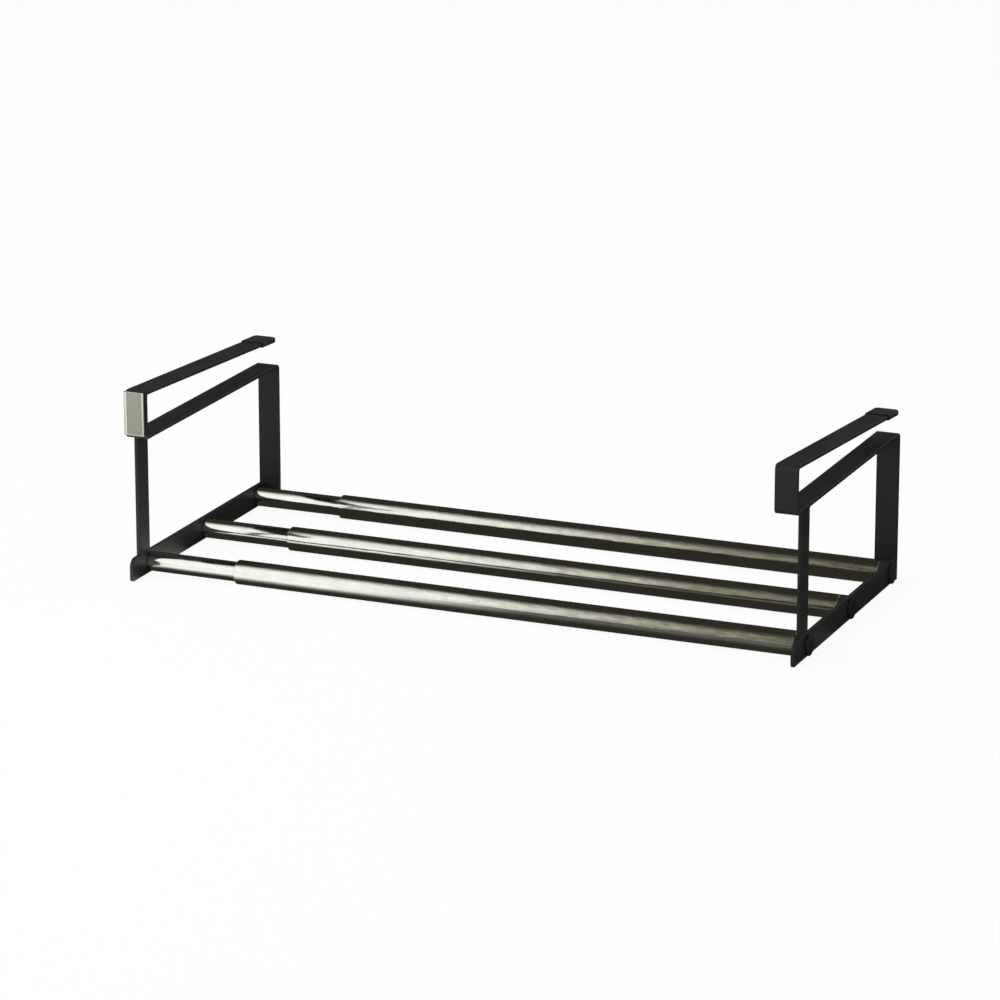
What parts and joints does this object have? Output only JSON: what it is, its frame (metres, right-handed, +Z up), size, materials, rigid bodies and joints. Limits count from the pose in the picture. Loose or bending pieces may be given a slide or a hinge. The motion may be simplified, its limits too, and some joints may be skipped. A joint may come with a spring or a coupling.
{
  "type": "extendable hanging shoe rack",
  "caption": "Shoe rack that hooks onto a shelf board and pulls out sideways on telescopic tubes, with black flat-bar frames.",
  "frame": {"origin": "centre of the rack's width and depth, at the underside of the thick tubes, which are its lowest pieces", "axes": "+X to the right along the tubes, +Y from the front to the rear of the shelf, +Z up"},
  "size_m": [0.6024, 0.2642, 0.1701],
  "materials": {
    "black_painted_steel": "satin",
    "chromed_steel": "polished",
    "satin_steel": "satin",
    "blackened_steel": "satin",
    "black_nylon": "matte",
    "white_acetal": "satin",
    "soft_black_vinyl": "matte",
    "black_foam_tape": "matte"
  },
  "bodies": {
    "right_half": {"hook_strap_right": "black_painted_steel", "front_post_right": "black_painted_steel", "base_bar_right": "black_painted_steel", "tip_cap_right": "soft_black_vinyl", "bolt_right_front": "blackened_steel", "bolt_right_middle": "blackened_steel", "bolt_right_rear": "blackened_steel", "end_holder_front": "black_nylon", "end_holder_middle": "black_nylon", "end_holder_rear": "black_nylon", "outer_tube_front": "chromed_steel", "outer_tube_middle": "chromed_steel", "outer_tube_rear": "chromed_steel", "mouth_bush_front": "black_nylon", "mouth_bush_middle": "black_nylon", "mouth_bush_rear": "black_nylon"},
    "left_half": {"hook_strap_left": "black_painted_steel", "front_post_left": "black_painted_steel", "base_bar_left": "black_painted_steel", "tip_cap_left": "soft_black_vinyl", "front_plate": "satin_steel", "plate_pad": "black_foam_tape", "bolt_left_front": "blackened_steel", "bolt_left_middle": "blackened_steel", "bolt_left_rear": "blackened_steel", "tube_plug_front": "black_nylon", "tube_plug_middle": "black_nylon", "tube_plug_rear": "black_nylon", "inner_tube_front": "chromed_steel", "inner_tube_middle": "chromed_steel", "inner_tube_rear": "chromed_steel", "end_sleeve_front": "white_acetal", "end_sleeve_middle": "white_acetal", "end_sleeve_rear": "white_acetal"}
  },
  "joints": [
    {"name": "width_slide", "type": "slide", "parent": "right_half", "child": "left_half", "axis": [-1, 0, 0], "range_m": [-0.0818, 0.351]}
  ]
}
